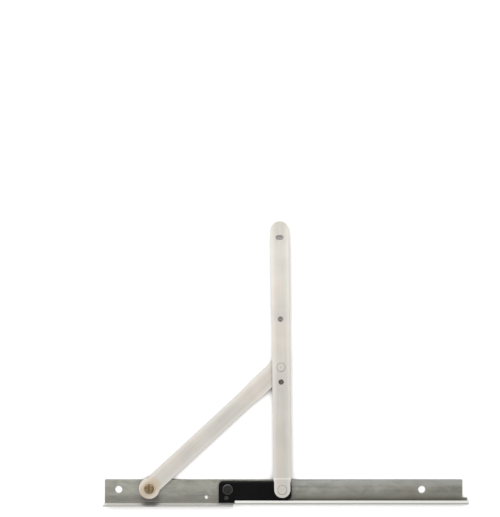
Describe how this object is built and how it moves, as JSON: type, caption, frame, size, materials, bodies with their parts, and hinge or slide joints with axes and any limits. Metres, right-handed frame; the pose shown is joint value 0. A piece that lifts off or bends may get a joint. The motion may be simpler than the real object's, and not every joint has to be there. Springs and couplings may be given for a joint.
{
  "type": "friction stay hinge",
  "caption": "Side-hung window friction stay: a bent steel track with a sliding brake shoe, a long sash arm hinged to the shoe and a shorter support arm pivoted on the track.",
  "frame": {"origin": "middle of the track's flat back, the face that is screwed to the window frame", "axes": "+X along the track from the fixed pivot towards the curled end, +Y across the track from the lip towards the arms, +Z out of the track's face"},
  "size_m": [0.3409, 0.2654, 0.01],
  "materials": {
    "track_steel": "dull rolled steel",
    "arm_coat": "pale satin coating",
    "plain_steel": "plain",
    "dark_steel": "blackened",
    "brass": "worn satin",
    "shoe_black": "moulded, matte",
    "acetal": "natural"
  },
  "bodies": {
    "track": {"track": "track_steel", "track_pivot_washer": "acetal"},
    "adjuster": {"adjuster_stud": "brass", "stud_clench_ring": "plain_steel"},
    "support_arm": {"support_arm": "arm_coat", "pivot_bush": "arm_coat", "elbow_washer": "acetal", "elbow_back_washer": "plain_steel", "elbow_rivet_tail": "plain_steel"},
    "shoe": {"shoe_body": "shoe_black", "shoe_hook": "shoe_black", "hook_rivet": "dark_steel", "shoe_plate": "plain_steel", "shoe_rivet": "arm_coat", "shoe_pivot_washer": "acetal", "brake_insert": "brass", "brake_spring": "plain_steel", "brake_pad": "acetal"},
    "friction_screw": {"friction_screw": "dark_steel"},
    "sash_arm": {"sash_arm": "arm_coat", "elbow_rivet": "arm_coat"}
  },
  "joints": [
    {"name": "sash_arm_pivot", "type": "hinge", "parent": "shoe", "child": "sash_arm", "pos_m": [-0.00152, 0.0042, 0.008], "axis": [0, 0, 1], "range_deg": [0, 89.4]},
    {"name": "support_arm_pivot", "type": "hinge", "parent": "track", "child": "support_arm", "pos_m": [-0.12585, 0.0042, 0.004], "axis": [0, 0, 1], "range_deg": [-42.8, 0]},
    {"name": "shoe_slide", "type": "slide", "parent": "track", "child": "shoe", "axis": [1, 0, 0], "range_m": [0, 0.1575]},
    {"name": "stud_adjust", "type": "hinge", "parent": "track", "child": "adjuster", "pos_m": [-0.12585, 0.0042, 0.006], "axis": [0, 0, 1], "range_deg": [-90, 90]},
    {"name": "friction_screw_turn", "type": "hinge", "parent": "shoe", "child": "friction_screw", "pos_m": [-0.05252, 0.0034, 0.005], "axis": [0, 0, 1], "range_deg": [-180, 180]}
  ],
  "couplings": [
    {"joint": "support_arm_pivot", "follows": "sash_arm_pivot", "ratio": -0.47866},
    {"joint": "shoe_slide", "follows": "sash_arm_pivot", "m_per_rad": 0.10092}
  ]
}
